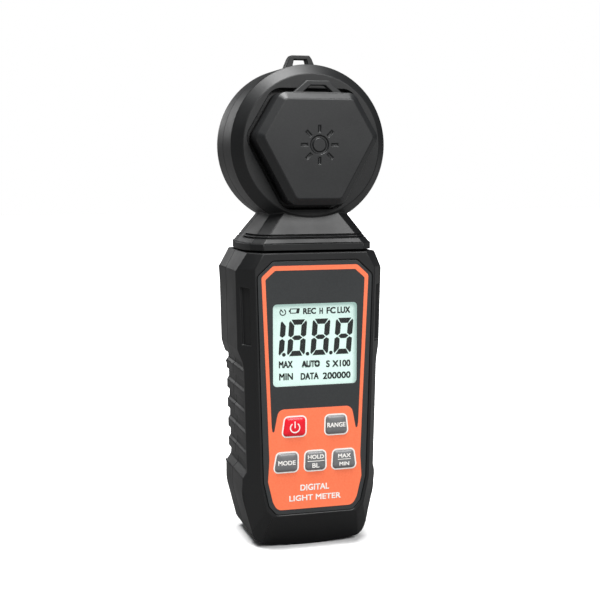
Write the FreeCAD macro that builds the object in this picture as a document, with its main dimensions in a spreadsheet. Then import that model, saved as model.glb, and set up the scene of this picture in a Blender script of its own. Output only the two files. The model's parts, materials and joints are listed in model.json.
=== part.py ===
import FreeCAD, Part
import math
import os

# Handheld light meter: a ribbed two-part case with a display and five keys, a round sensor head
# on a swivelling neck, and a hexagonal push-on cap over the light sensor.
#
# Frame: +Z runs up the length of the meter, the display faces -Y, and +X is to the right of a
# person who reads the display. The origin is under the middle of the meter, at its lowest point.

V = FreeCAD.Vector
doc = FreeCAD.newDocument("light_meter")

# ---------------------------------------------------------------- driving dimensions (mm, degrees)

DIMENSIONS = {
    # levels along Y, from the display side to the back
    "cap_front": -23.4, "front_plane": -18.3, "overlay_face": -18.2, "overlay_back": -17.7,
    "front_wall_back": -16.1, "board_front": -9.6, "board_back": -8.0, "case_parting": 8.0,
    "cell_centre_depth": 15.4, "rear_wall_front": 21.2, "rear_plane": 23.4,
    # levels along Z
    "case_top": 118.15, "shoulder_level": 110.9, "neck_base": 118.86, "flange_top": 121.6,
    "neck_top": 134.0, "head_centre": 159.2, "eye_top": 194.6,
    # case
    "bevel_depth": 9.0, "groove_count": 6, "rib_pitch": 8.25, "groove_depth": 1.1, "groove_front": -10.6,
    "waist_half": 27.1, "groove_foot": 72.7, "pocket_depth": 0.9,
    # head
    "head_radius": 31.0, "head_rim_radius": 27.26, "head_front": -13.27, "head_back": 18.47,
    "head_bevel": 4.81, "head_rear_bevel": 1.2, "head_wall": 2.2, "head_parting": 5.8, "recess_floor": -9.3,
    "aperture_radius": 14.0, "collar_radius": 16.5, "running_gap": 0.08, "sign_depth": 0.4,
    # swivel
    "swivel_depth": 2.6, "tube_radius": 4.4, "tube_bore": 2.8, "tube_flange_radius": 7.0,
    "tube_bottom": 110.5, "clip_level": 114.9, "clip_thickness": 0.8,
    # display window
    "window_half": 17.0, "window_low": 66.4, "window_high": 98.5, "window_corner": 1.6,
    # keys
    "key_face": -19.2, "key_gap": 0.2, "key_travel": 0.8, "key_flange": 0.8,
    "switch_height": 3.5, "switch_side": 6.0,
    # batteries
    "cell_radius": 5.2, "cell_length": 44.5, "cell_low": 17.6, "cell_pitch": 11.0,
    "bay_half": 17.6, "bay_low": 13.0, "bay_high": 71.0, "bay_floor": 9.8, "bay_wall": 1.4,
    "door_gap": 0.25,
    # fasteners
    "screw_radius": 1.1, "screw_head_radius": 2.0, "screw_head_height": 1.5,
    "case_screw_seat": 12.0, "head_screw_seat": 10.0, "cable_radius": 1.2,
    "pilot_radius": 1.12, "hole_radius": 1.25, "well_radius": 2.3, "boss_radius": 3.3,
    "small_pilot_radius": 0.92, "small_hole_radius": 1.05, "plunger_height": 0.8,
}

sheet = doc.addObject("Spreadsheet::Sheet", "Dimensions")
for row, (alias, amount) in enumerate(DIMENSIONS.items(), start=1):
    sheet.set(f"A{row}", alias)
    sheet.set(f"B{row}", str(amount))
    sheet.setAlias(f"B{row}", alias)
doc.recompute()


def size(term):
    """Number for a term: a sheet alias, an (alias, offset) pair or a plain number."""
    if isinstance(term, tuple):
        return size(term[0]) + term[1]
    if isinstance(term, str):
        return float(sheet.get(term))
    return float(term)


def cell(term):
    """The same term as an expression that follows the sheet."""
    if isinstance(term, tuple):
        return f"({cell(term[0])} + {term[1]})"
    if isinstance(term, str):
        return f"Dimensions.{term}"
    return f"({term})"


# ---------------------------------------------------------------- outlines

def edges_of(path):
    """Edges of a closed path. A step is (x, y) for a line, or (x, y, via_x, via_y) for an arc."""
    edges = []
    start = path[-1][:2]
    for step in path:
        end = step[:2]
        if len(step) == 4:
            edges.append(Part.Arc(V(*start, 0), V(*step[2:], 0), V(*end, 0)))
        else:
            edges.append(Part.LineSegment(V(*start, 0), V(*end, 0)))
        start = end
    return edges


def mirrored(path, via=()):
    """Closed path from its right half, listed from top to bottom. via bends the bottom edge."""
    left = []
    for index in range(len(path) - 1, 0, -1):
        x, y = path[index - 1][:2]
        bend = path[index][2:]
        left.append((-x, y) + ((-bend[0], bend[1]) if bend else ()))
    return path + [(-path[-1][0], path[-1][1]) + tuple(via)] + left


def rounded(corners, radius):
    """Closed path of a polygon whose corners are all rounded to one radius."""
    path = []
    count = len(corners)
    for index, corner in enumerate(corners):
        here = V(*corner, 0)
        before = (V(*corners[index - 1], 0) - here).normalize()
        after = (V(*corners[(index + 1) % count], 0) - here).normalize()
        half = before.getAngle(after) / 2
        reach = radius / math.tan(half)
        middle = (before + after).normalize()
        nearest = here + middle * (radius / math.sin(half) - radius)
        start = here + before * reach
        end = here + after * reach
        path += [(start.x, start.y), (end.x, end.y, nearest.x, nearest.y)]
    return path


def rectangle(half, low, high, centre=0.0):
    """Corners of an upright rectangle."""
    return [(centre + half, high), (centre + half, low), (centre - half, low), (centre - half, high)]


def circle(x, y, radius):
    """A full circle as a one-edge loop."""
    return [Part.Circle(V(x, y, 0), V(0, 0, 1), radius)]


def circles(spots, radius):
    """Equal circles on several spots."""
    return [circle(x, z, size(radius)) for x, z in spots]


def grown(corners, distance):
    """Polygon, listed clockwise, whose edges all stand outside the given one by a distance."""
    moved = []
    count = len(corners)
    for index in range(count):
        here = V(*corners[index], 0)
        before = (here - V(*corners[index - 1], 0)).normalize()
        after = (V(*corners[(index + 1) % count], 0) - here).normalize()
        normal_before = V(-before.y, before.x, 0)
        normal_after = V(-after.y, after.x, 0)
        middle = (normal_before + normal_after).normalize()
        moved.append(tuple(here + middle * (distance / middle.dot(normal_after)))[:2])
    return moved


# ---------------------------------------------------------------- PartDesign helpers

# An origin plane, the sign of its normal along the levels that are given, and its offset's sign.
PLANES = {"Y": ("XZ_Plane", -1), "Z": ("XY_Plane", 1), "X": ("YZ_Plane", 1)}


def new_body(label):
    body = doc.addObject("PartDesign::Body", label)
    body.Label = label
    return body


def sketch(body, name, axis, level, loops):
    """Sketch of closed loops on the origin plane across an axis, at a level along it."""
    role, sign = PLANES[axis]
    drawing = body.newObject("Sketcher::SketchObject", name)
    plane = [item for item in body.Origin.OriginFeatures if item.Role == role][0]
    drawing.AttachmentSupport = [(plane, "")]
    drawing.MapMode = "FlatFace"
    drawing.setExpression("AttachmentOffset.Base.z", f"{sign} * {cell(level)}")
    for loop in loops:
        for edge in loop:
            drawing.addGeometry(edge, False)
    return drawing


def feature(kind, body, name, axis, start, end, loops, taper=0.0):
    """Pad or Pocket of a sketch from one level to another along an axis."""
    drawing = sketch(body, name + "_sketch", axis, start, loops)
    made = body.newObject(kind, name)
    made.Profile = drawing
    made.setExpression("Length", f"abs({cell(end)} - {cell(start)})")
    along_normal = (size(end) - size(start)) * PLANES[axis][1] > 0
    made.Reversed = along_normal if kind == "PartDesign::Pocket" else not along_normal
    made.TaperAngle = taper
    drawing.Visibility = False
    return made


def pad(body, name, axis, start, end, loops, taper=0.0):
    feature("PartDesign::Pad", body, name, axis, start, end, loops, taper)
    doc.recompute()


def pocket(body, name, axis, start, end, loops, taper=0.0):
    """Pocket that is refused if it removes nothing."""
    before = body.Shape.Volume
    feature("PartDesign::Pocket", body, name, axis, start, end, loops, taper)
    doc.recompute()
    if body.Shape.Volume >= before - 1e-6:
        raise RuntimeError(f"{body.Label}: {name} cuts nothing")


def loft(body, name, axis, start, start_path, end, end_path):
    """Ruled loft between two closed paths at two levels."""
    first = sketch(body, name + "_start", axis, start, [edges_of(start_path)])
    last = sketch(body, name + "_end", axis, end, [edges_of(end_path)])
    made = body.newObject("PartDesign::AdditiveLoft", name)
    made.Profile = first
    made.Sections = [last]
    made.Ruled = True
    doc.recompute()


def turned(kind, body, name, profile, centre):
    """Revolution or Groove about the head's own axis, from (y, radius) corners."""
    drawing = sketch(body, name + "_sketch", "X", 0, [edges_of(profile)])
    drawing.setExpression("AttachmentOffset.Base.y", cell(centre))
    made = body.newObject(kind, name)
    made.Profile = drawing
    made.ReferenceAxis = (drawing, ["H_Axis"])
    made.Angle = 360
    doc.recompute()


# ---------------------------------------------------------------- Part helpers

TURNS = {"Z": FreeCAD.Rotation(), "Y": FreeCAD.Rotation(V(1, 0, 0), -90),
         "X": FreeCAD.Rotation(V(0, 1, 0), 90)}


def rod(name, axis, radius, start, end, at):
    """Cylinder along an axis, between two levels; at holds the two other coordinates in order."""
    made = doc.addObject("Part::Cylinder", name)
    made.setExpression("Radius", cell(radius))
    made.setExpression("Height", f"abs({cell(end)} - {cell(start)})")
    low = min(size(start), size(end))
    spot = {"X": V(low, *at), "Y": V(at[0], low, at[1]), "Z": V(*at, low)}[axis]
    made.Placement = FreeCAD.Placement(spot, TURNS[axis])
    return made


def block(name, x_span, y_span, z_span):
    """Box between two levels along each axis."""
    made = doc.addObject("Part::Box", name)
    for side, (start, end) in zip(("Length", "Width", "Height"), (x_span, y_span, z_span)):
        made.setExpression(side, f"abs({cell(end)} - {cell(start)})")
    corner = [min(size(span[0]), size(span[1])) for span in (x_span, y_span, z_span)]
    made.Placement = FreeCAD.Placement(V(*corner), FreeCAD.Rotation())
    return made


def fused(name, pieces):
    made = doc.addObject("Part::MultiFuse", name)
    made.Shapes = pieces
    return made


def cut(name, base, tool):
    made = doc.addObject("Part::Cut", name)
    made.Base = base
    made.Tool = tool
    return made


def group(name, solids):
    """Separate solids of one kind, kept in one node."""
    made = doc.addObject("Part::Compound", name)
    made.Links = solids
    return made


def screw(name, seat, tip, at, shank="screw_radius", head="screw_head_radius"):
    """Pan-head screw along Y with a cross slot, driven from the back."""
    shaft = rod(name + "_shank", "Y", shank, tip, seat, at)
    top = (seat, size("screw_head_height")) if isinstance(seat, str) else seat + size("screw_head_height")
    cap = rod(name + "_head", "Y", head, seat, top, at)
    slot_level = size(top) - 0.7
    arm = size(head) * 0.6
    across = block(name + "_slot_x", (at[0] - arm, at[0] + arm), (slot_level, size(top) + 1),
                   (at[1] - 0.25, at[1] + 0.25))
    upright = block(name + "_slot_z", (at[0] - 0.25, at[0] + 0.25), (slot_level, size(top) + 1),
                    (at[1] - arm, at[1] + arm))
    return cut(name, fused(name + "_blank", [shaft, cap]), fused(name + "_slots", [across, upright]))


# ---------------------------------------------------------------- case

GROOVE_HEIGHTS = [1.7] + [2.95] * 5
GROOVE_REACH = 2.4
GROOVE_DEEPENING = 0.18
GROOVE_CEILING_SLOPE = 0.6
GROOVE_FOOT_SLOPE = 1.05


def grip_grooves():
    """Loops of the grooves between the ribs, on both sides of the case, from the top one down."""
    loops = []
    for index in range(int(size("groove_count"))):
        foot = size("groove_foot") - index * size("rib_pitch")
        floor = size("waist_half") - size("groove_depth") - GROOVE_DEEPENING * index
        ceiling = foot + GROOVE_HEIGHTS[index]
        mouth = floor + GROOVE_REACH
        right = [(floor, ceiling), (mouth, ceiling + GROOVE_CEILING_SLOPE * GROOVE_REACH),
                 (mouth, foot - GROOVE_FOOT_SLOPE * GROOVE_REACH), (floor, foot)]
        loops += [edges_of(right), edges_of([(-x, z) for x, z in right])]
    return loops


def case_outline():
    """Silhouette of the case: shoulders, bulge, straight waist, low block and rounded base."""
    half = [(25.8, size("case_top")), (29.75, size("shoulder_level")), (29.1, 80.2), (27.6, 75.6),
            (size("waist_half"), 72.7), (26.2, 31.6), (27.5, 29.1), (27.5, 22.4), (27.1, 19.6), (23.6, 6.0),
            (20.9, 2.6, 22.7, 3.9)]
    return mirrored(half, via=(0.0, 0.0))


FRONT_FACE = [(20.6, 118.15), (24.2, 112.2), (22.2, 28.3), (19.9, 17.4), (17.2, 14.6)]
BEVEL_FOOT = [(27.2, 122.5), (29.9, 111.6), (27.9, 26.5), (24.3, 6.2), (20.6, -1.4)]
REAR_FACE = [(23.3, 116.0), (27.1, 109.8), (26.6, 78.5), (24.5, 73.0), (23.7, 33.0), (24.9, 28.4),
             (24.9, 21.4), (21.2, 6.0), (18.4, 2.6)]
FRONT_CAVITY = [(21.0, 115.9), (22.8, 110.0), (22.6, 78.0), (21.4, 58.0), (20.8, 28.0), (17.0, 17.0)]
SIDE_CAVITY = [(24.4, 114.0), (26.8, 109.0), (26.6, 82.0), (23.0, 76.0)]
REAR_CAVITY = [(22.6, 115.9), (24.6, 109.0), (24.4, 80.0), (22.9, 74.0), (22.4, 28.0), (19.0, 10.0)]
OVERLAY = [(16.9, 115.0), (23.0, 109.3), (20.8, 28.8), (18.6, 19.0), (15.6, 15.5)]
OVERLAY_CORNER = 2.2
OVERLAY_GAP = 0.25
TOP_SCREWS = [(-19.2, 107.4), (19.2, 107.4)]
LOW_SCREWS = [(-15.0, 7.4), (15.0, 7.4)]
CASE_SCREWS = TOP_SCREWS + LOW_SCREWS
BOARD_SCREWS = [(-18.3, 59.2), (18.3, 59.2), (-15.6, 23.2), (15.6, 23.2)]
DOOR_SCREW = (0, 68.4)

# Ends of the recess in a shoulder's bevel: level along Z, then how far down the bevel it starts and ends
RECESS_ENDS = ((104.8, 2.9, 8.5), (82.4, 2.9, 8.3))
RECESS_FLARE = 0.4
BEVEL_WIDTH = 5.67

# Corners of each key, clockwise from the top right; the outer side of a side key leans outwards
KEYS = {
    "power_key": [(-4.05, 54.15), (-4.1, 46.65), (-13.3, 46.65), (-12.2, 54.15)],
    "range_key": [(12.3, 54.05), (13.15, 46.55), (4.05, 46.55), (4.3, 54.05)],
    "mode_key": [(-7.25, 40.05), (-7.3, 32.65), (-16.75, 32.65), (-15.45, 40.05)],
    "hold_key": [(3.9, 40.1), (4.2, 32.55), (-4.3, 32.55), (-3.95, 40.1)],
    "max_min_key": [(15.6, 39.95), (16.65, 32.55), (6.9, 32.55), (7.45, 39.95)],
}
KEY_CORNER = 1.5


def key_corners(name, grow=0.0):
    """Corners of one key, grown all round."""
    return grown(KEYS[name], grow)


def key_middle(name):
    """Middle of one key's face."""
    corners = KEYS[name]
    return sum(x for x, _ in corners) / len(corners), sum(z for _, z in corners) / len(corners)


def key_loops(grow):
    """Openings for all keys, grown all round."""
    return [edges_of(rounded(key_corners(name, grow), KEY_CORNER + grow)) for name in KEYS]


def outside_of(path):
    """Sketch loops of everything outside a closed path."""
    return [edges_of(rectangle(45, -20, 140)), edges_of(path)]


def overlay_loop(grow):
    return edges_of(rounded(grown(mirrored(OVERLAY), grow), OVERLAY_CORNER + grow))


def window_loop(grow):
    corners = rectangle(size("window_half") + grow, size("window_low") - grow, size("window_high") + grow)
    return edges_of(rounded(corners, size("window_corner")))


def front_case():
    body = new_body("front_case")
    bevel_end = ("front_plane", size("bevel_depth"))
    loft(body, "bevelled_face", "Y", "front_plane", mirrored(FRONT_FACE), bevel_end, mirrored(BEVEL_FOOT))
    pad(body, "side_walls", "Y", bevel_end, "case_parting", [edges_of(rectangle(32, -4, 122.5))])
    pocket(body, "silhouette", "Y", ("front_plane", -1), "case_parting", outside_of(case_outline()))
    pocket(body, "inside", "Y", "case_parting", "front_wall_back", [edges_of(mirrored(FRONT_CAVITY))])
    pocket(body, "shoulder_room", "Y", "case_parting", -8.0, [edges_of(mirrored(SIDE_CAVITY))])
    pocket(body, "grip_grooves", "Y", "groove_front", "case_parting", grip_grooves())
    grip_pockets(body)
    pocket(body, "overlay_recess", "Y", "front_plane", "overlay_back", [overlay_loop(OVERLAY_GAP)])
    pocket(body, "display_opening", "Y", "front_plane", "front_wall_back", [window_loop(0.6)])
    pocket(body, "key_openings", "Y", "front_plane", "front_wall_back", key_loops(size("key_gap")))
    pad(body, "case_bosses", "Y", "case_parting", ("front_wall_back", -0.2), circles(TOP_SCREWS, 2.9))
    pocket(body, "case_pilot_holes", "Y", "case_parting", 0.0, circles(CASE_SCREWS, "pilot_radius"))
    pad(body, "board_bosses", "Y", "front_wall_back", "board_front", circles(BOARD_SCREWS, 2.0))
    pocket(body, "board_pilot_holes", "Y", "board_front", ("board_front", -4.0),
           circles(BOARD_SCREWS, "small_pilot_radius"))
    pocket(body, "swivel_bore", "Z", ("case_top", 1.0), ("case_top", -8.0),
           [circle(0, size("swivel_depth"), size("tube_radius") + size("running_gap"))])
    return body


def grip_pockets(body):
    """Shallow recess in the bevel of each shoulder, with a slanted lower end."""
    depth = size("pocket_depth")
    slope = math.atan2(BEVEL_WIDTH, size("bevel_depth"))
    inward = V(-math.cos(slope), math.sin(slope), 0)
    (high_x, high_z), (low_x, low_z) = FRONT_FACE[1:3]
    for side_name, side in (("left", -1), ("right", 1)):
        tool = body.newObject("PartDesign::SubtractiveLoft", f"grip_pocket_{side_name}")
        ends = []
        for level, start, end in RECESS_ENDS:
            edge_x = low_x + (high_x - low_x) * (level - low_z) / (high_z - low_z)
            corners = []
            for along, down in ((start, -1.0), (end, -1.0), (end - RECESS_FLARE, depth),
                                (start + RECESS_FLARE, depth)):
                x = edge_x + along * math.sin(slope) + inward.x * down
                y = size("front_plane") + along * math.cos(slope) + inward.y * down
                corners.append((side * x, y))
            drawing = sketch(body, f"{tool.Name}_at_{int(level)}", "Z", level, [edges_of(corners)])
            ends.append(drawing)
        tool.Profile = ends[0]
        tool.Sections = [ends[1]]
        tool.Ruled = True
        doc.recompute()


def rear_case():
    body = new_body("rear_case")
    bevel_start = ("rear_plane", -2.6)
    pad(body, "bevelled_back", "Y", "rear_plane", bevel_start, [edges_of(mirrored(REAR_FACE))], 45)
    pad(body, "side_walls", "Y", bevel_start, "case_parting", [edges_of(rectangle(32, -4, 118.15))])
    pocket(body, "silhouette", "Y", ("rear_plane", 1), "case_parting", outside_of(case_outline()))
    pocket(body, "grip_grooves", "Y", ("rear_plane", 1), "case_parting", grip_grooves())
    pocket(body, "inside", "Y", "case_parting", "rear_wall_front", [edges_of(mirrored(REAR_CAVITY))])
    half = size("bay_half") + size("bay_wall")
    low = size("bay_low") - size("bay_wall")
    high = size("bay_high") + size("bay_wall")
    wall_foot = 0.8
    bay = rectangle(half + wall_foot, low - wall_foot, high + wall_foot)
    pad(body, "battery_bay", "Y", "rear_wall_front", ("bay_floor", -size("bay_wall")), [edges_of(bay)])
    pocket(body, "door_seat", "Y", "rear_plane", "rear_wall_front", [edges_of(rectangle(half, low, high))])
    pocket(body, "bay_room", "Y", "rear_wall_front", "bay_floor",
           [edges_of(rectangle(size("bay_half"), size("bay_low"), size("bay_high")))])
    pad(body, "bay_partition", "Y", "bay_floor", "rear_wall_front",
        [edges_of(rectangle(size("bay_half"), 64.6, 65.8))])
    pad(body, "door_screw_boss", "Y", "bay_floor", "rear_wall_front", circles([DOOR_SCREW], 3.0))
    pocket(body, "door_screw_pilot", "Y", "rear_wall_front", 12.0, circles([DOOR_SCREW], "pilot_radius"))
    pad(body, "case_bosses", "Y", "case_parting", "rear_wall_front", circles(CASE_SCREWS, "boss_radius"))
    pocket(body, "screw_wells", "Y", "rear_plane", "case_screw_seat", circles(CASE_SCREWS, "well_radius"))
    pocket(body, "screw_holes", "Y", "case_screw_seat", "case_parting",
           circles(CASE_SCREWS, "hole_radius"))
    return body


def case_screws():
    return group("case_screws", [screw(f"case_screw_{index}", "case_screw_seat", 1.0, at)
                                 for index, at in enumerate(CASE_SCREWS, start=1)])


def face_overlay():
    body = new_body("face_overlay")
    pad(body, "film", "Y", "overlay_back", "overlay_face", [overlay_loop(0.0)])
    pocket(body, "window", "Y", "overlay_face", "overlay_back", [window_loop(0.0)])
    pocket(body, "key_holes", "Y", "overlay_face", "overlay_back", key_loops(size("key_gap")))
    return body


def plunger_top():
    """Level along Y of the top of a switch's plunger when it isn't pressed."""
    return size("board_front") - size("switch_height") - size("plunger_height")


def key(name):
    """Push key: a domed cap, a flange that keeps it behind the wall, and a stem for its switch."""
    body = new_body(name)
    outline = [edges_of(rounded(key_corners(name), KEY_CORNER))]
    flange_outline = [edges_of(rounded(key_corners(name, 0.7), KEY_CORNER))]
    flange_front = ("front_wall_back", 0.15)
    flange_back = ("front_wall_back", size("key_flange") + 0.15)
    stem_back = plunger_top() - size("key_travel") - 0.05
    pad(body, "cap", "Y", flange_back, ("key_face", 0.5), outline)
    pad(body, "crown", "Y", ("key_face", 0.5), "key_face", outline, -45)
    pad(body, "flange", "Y", flange_back, flange_front, flange_outline)
    pad(body, "stem", "Y", flange_back, stem_back, [circle(*key_middle(name), 1.8)])
    return body


def key_switch(name):
    """Tactile switch under one key: a square base and a round plunger."""
    x, middle = key_middle(name)
    half = size("switch_side") / 2
    label = name.replace("_key", "_switch")
    base_top = ("board_front", -size("switch_height"))
    base = block(label + "_base", (x - half, x + half), ("board_front", base_top),
                 (middle - half, middle + half))
    plunger = rod(label + "_plunger", "Y", 1.7, base_top, plunger_top(), (x, middle))
    return fused(label, [base, plunger])


# ---------------------------------------------------------------- display

def plate(name, half, y_span, low, high, corner=None):
    """Upright plate between two levels along Y."""
    body = new_body(name)
    corners = rectangle(half, low, high)
    path = rounded(corners, corner) if corner else corners
    pad(body, "plate", "Y", y_span[0], y_span[1], [edges_of(path)])
    return body


def display_parts():
    """Lens, display glass, its frame, the backlight behind it and its two contact strips."""
    window = plate("lcd_window", 17.45, ("overlay_back", ("overlay_back", 1.1)), 65.95, 98.95, 1.5)
    glass = plate("lcd_glass", 18.6, (-15.9, -13.1), 64.0, 100.9)
    light_guide = plate("backlight_guide", 18.0, (-13.1, -10.3), 67.0, 98.0)
    frame = new_body("lcd_frame")
    pad(frame, "outer", "Y", "board_front", -15.9, [edges_of(rectangle(20.2, 62.4, 102.5)),
                                                    edges_of(rectangle(18.7, 63.9, 101.0))])
    strips = [block(f"contact_strip_{index}", (-17.5, 17.5), (-13.1, "board_front"), (low, low + 2.0))
              for index, low in enumerate((64.5, 98.4), start=1)]
    return [window, glass, light_guide, frame, group("contact_strips", strips)]


# ---------------------------------------------------------------- boards

def main_board():
    body = new_body("main_board")
    outline = mirrored([(20.0, 102.6), (20.3, 60.0), (19.8, 29.0), (17.2, 20.6)])
    pad(body, "board", "Y", "board_front", "board_back", [edges_of(outline)])
    pocket(body, "screw_holes", "Y", "board_back", "board_front",
           circles(BOARD_SCREWS, "small_hole_radius"))
    return body


def board_parts():
    """Chips, crystal, capacitors and connector on the back of the main board, and its screws."""
    back = "board_back"
    chip = block("controller_chip", (-6.0, 6.0), (back, (back, 1.6)), (40.0, 52.0))
    crystal = rod("timing_crystal", "Z", 1.3, 56.0, 63.0, (-9.0, size(back) + 1.3))
    spots = [(9.0, 57.0), (9.0, 62.5), (13.5, 57.0), (13.5, 62.5)]
    capacitors = group("board_capacitors", [rod(f"capacitor_{index}", "Y", 1.8, back, (back, 4.6), at)
                                            for index, at in enumerate(spots, start=1)])
    connector = block("board_connector", (-4.0, 4.0), (back, (back, 4.2)), (75.0, 81.0))
    screws = group("board_screws", [screw(f"board_screw_{index}", "board_back", -13.0, at, 0.9, 1.7)
                                    for index, at in enumerate(BOARD_SCREWS, start=1)])
    return [chip, crystal, capacitors, connector, screws]


def lower_cable():
    """Sensor lead inside the case: down the swivel axis, then across to the board's connector."""
    axis_y = size("swivel_depth")
    plug_y = size("board_back") + 2.1
    points = [V(0, axis_y, 112), V(0, axis_y, 101), V(0, plug_y, 91), V(0, plug_y, 81)]
    made = doc.addObject("Part::Feature", "lower_sensor_cable")
    made.Shape = tube_along(points, size("cable_radius"))
    return made


def tube_along(points, radius):
    """Solid round tube along straight runs that are joined by tangent arcs."""
    edges = []
    start = points[0]
    for before, corner, after in zip(points, points[1:], points[2:]):
        incoming = (before - corner).normalize()
        outgoing = (after - corner).normalize()
        shorter = min((before - corner).Length, (after - corner).Length)
        reach = 0.45 * shorter
        half_turn = (math.pi - incoming.getAngle(outgoing)) / 2
        bend = reach / math.tan(half_turn)
        arc_start = corner + incoming * reach
        arc_end = corner + outgoing * reach
        middle = corner + (incoming + outgoing).normalize() * (bend / math.cos(half_turn) - bend)
        edges.append(Part.LineSegment(start, arc_start).toShape())
        edges.append(Part.Arc(arc_start, middle, arc_end).toShape())
        print(f"cable bend radius {bend:.1f} mm")
        start = arc_end
    edges.append(Part.LineSegment(start, points[-1]).toShape())
    spine = Part.Wire(edges)
    direction = points[1] - points[0]
    section = Part.Wire(Part.Circle(points[0], direction, radius).toShape())
    solid = spine.makePipeShell([section], True, False)
    expected = math.pi * radius ** 2 * spine.Length
    if abs(solid.Volume - expected) > 0.02 * expected:
        raise RuntimeError("the cable's volume is not its section times its length")
    return solid


# ---------------------------------------------------------------- batteries

def cell_columns():
    pitch = size("cell_pitch")
    return {"left": -pitch, "middle": 0.0, "right": pitch}


def battery_cell(side, x):
    """One AAA cell standing on its flat end, with its button at the top."""
    at = (x, size("cell_centre_depth"))
    top = ("cell_low", size("cell_length") - 1.0)
    can = rod(f"cell_{side}_can", "Z", "cell_radius", "cell_low", top, at)
    button = rod(f"cell_{side}_button", "Z", 1.9, top, ("cell_low", size("cell_length")), at)
    return fused(f"battery_cell_{side}", [can, button])


def battery_spring(side, x):
    """Conical coil spring under one cell."""
    height = size("cell_low") - size("bay_low") - 0.8
    wire = 0.3
    coil = Part.makeHelix(height / 3.2, height - 2 * wire, 3.4, -12)
    foot = V(3.4, 0, 0)
    section = Part.Wire(Part.Circle(foot, V(0, 1, 0), wire).toShape())
    solid = Part.Wire(coil.Edges).makePipeShell([section], True, True)
    made = doc.addObject("Part::Feature", f"battery_spring_{side}")
    made.Shape = solid
    spot = V(x, size("cell_centre_depth"), size("bay_low") + 0.8 + wire)
    made.Placement = FreeCAD.Placement(spot, FreeCAD.Rotation())
    return made


def battery_parts():
    """Cells, springs, and the metal plates at both ends of the bay."""
    parts = []
    low = size("bay_low")
    for side, x in cell_columns().items():
        parts.append(battery_cell(side, x))
        parts.append(battery_spring(side, x))
    negative = [block(f"negative_plate_{side}", (x - 4.6, x + 4.6), (10.6, 20.4), (low, low + 0.5))
                for side, x in cell_columns().items()]
    positive = [block(f"positive_plate_{side}", (x - 4.6, x + 4.6), (10.6, 20.4), (63.6, 64.1))
                for side, x in cell_columns().items()]
    parts.append(group("negative_contacts", negative))
    parts.append(group("positive_contacts", positive))
    return parts


def battery_door():
    """Flat cover in the back of the case, with a grip recess and a well for its screw."""
    body = new_body("battery_door")
    gap = size("door_gap")
    half = size("bay_half") + size("bay_wall") - gap
    low = size("bay_low") - size("bay_wall") + gap
    high = size("bay_high") + size("bay_wall") - gap
    outline = [edges_of(rounded(rectangle(half, low, high), 1.0))]
    pad(body, "cover", "Y", ("rear_wall_front", 0.05), "rear_plane", outline)
    grip = [edges_of(rounded(rectangle(7.0, low + step, low + step + 1.2), 0.5)) for step in (5.0, 7.4, 9.8)]
    pocket(body, "grip_grooves", "Y", "rear_plane", ("rear_plane", -0.6), grip)
    pocket(body, "screw_hole", "Y", "rear_plane", "rear_wall_front", circles([DOOR_SCREW], "hole_radius"))
    pocket(body, "screw_well", "Y", "rear_plane", ("rear_plane", -1.2), circles([DOOR_SCREW], "well_radius"))
    return body


def door_screw():
    seat = ("rear_plane", -1.2)
    level = DOOR_SCREW[1]
    shaft = rod("door_screw_shank", "Y", "screw_radius", 14.0, seat, DOOR_SCREW)
    head = rod("door_screw_head", "Y", "screw_head_radius", seat, ("rear_plane", -0.1), DOOR_SCREW)
    slot = block("door_screw_slot", (-3.0, 3.0), (("rear_plane", -0.7), ("rear_plane", 1.0)),
                 (level - 0.3, level + 0.3))
    return cut("door_screw", fused("door_screw_blank", [shaft, head]), slot)


# ---------------------------------------------------------------- swivel

def swivel_parts():
    """Hollow pivot held in the neck, its clip under the case's top wall, and a thin washer."""
    at = (0, size("swivel_depth"))
    tube = rod("pivot_barrel", "Z", "tube_radius", "tube_bottom", ("neck_base", 3.0), at)
    flange = rod("pivot_flange", "Z", "tube_flange_radius", ("neck_base", 3.0), ("neck_base", 5.0), at)
    bore = rod("pivot_bore", "Z", "tube_bore", ("tube_bottom", -1.0), ("neck_base", 6.0), at)
    groove_low = ("clip_level", -0.05)
    groove_high = ("clip_level", size("clip_thickness") + 0.05)
    groove = cut("pivot_groove", rod("groove_outer", "Z", 6.0, groove_low, groove_high, at),
                 rod("groove_inner", "Z", 3.8, groove_low, groove_high, at))
    pivot = cut("swivel_tube", fused("pivot_blank", [tube, flange]), fused("pivot_cuts", [bore, groove]))
    clip_high = ("clip_level", size("clip_thickness"))
    clip_inside = fused("clip_inside", [rod("clip_hole", "Z", 3.85, "clip_level", clip_high, at),
                                        block("clip_gap", (-1.6, 1.6), (at[1] - 9.0, at[1]),
                                              ("clip_level", clip_high))])
    clip = cut("retaining_clip", rod("clip_outer", "Z", 6.4, "clip_level", clip_high, at), clip_inside)
    washer_low, washer_high = ("case_top", 0.02), ("neck_base", -0.08)
    washer = cut("swivel_washer", rod("washer_outer", "Z", 10.0, washer_low, washer_high, at),
                 rod("washer_hole", "Z", 4.6, washer_low, washer_high, at))
    return [pivot, clip], washer


# ---------------------------------------------------------------- head

NECK_FLANGE = [(20.2, -16.2), (24.3, -12.0), (24.5, 18.2, 26.6, 3.1), (20.4, 22.2)]
NECK_FOOT = [(19.9, -15.9), (23.9, -11.8), (24.1, 18.0, 26.2, 3.1), (20.1, 21.9)]
NECK_HEAD = [(10.4, -12.0), (14.6, -8.4), (14.6, 13.6, 15.3, 2.6), (10.2, 17.2)]
NECK_GROOVES = [123.5, 124.5]
NECK_GROOVE_WIDTH = 0.4
GROOVE_INSET = 0.45
HEAD_SCREWS = [(x * 17.3, z * 17.3) for x in (-1, 1) for z in (-1, 1)]
SENSOR_SCREW_ANGLES = (90, 210, 330)

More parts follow.
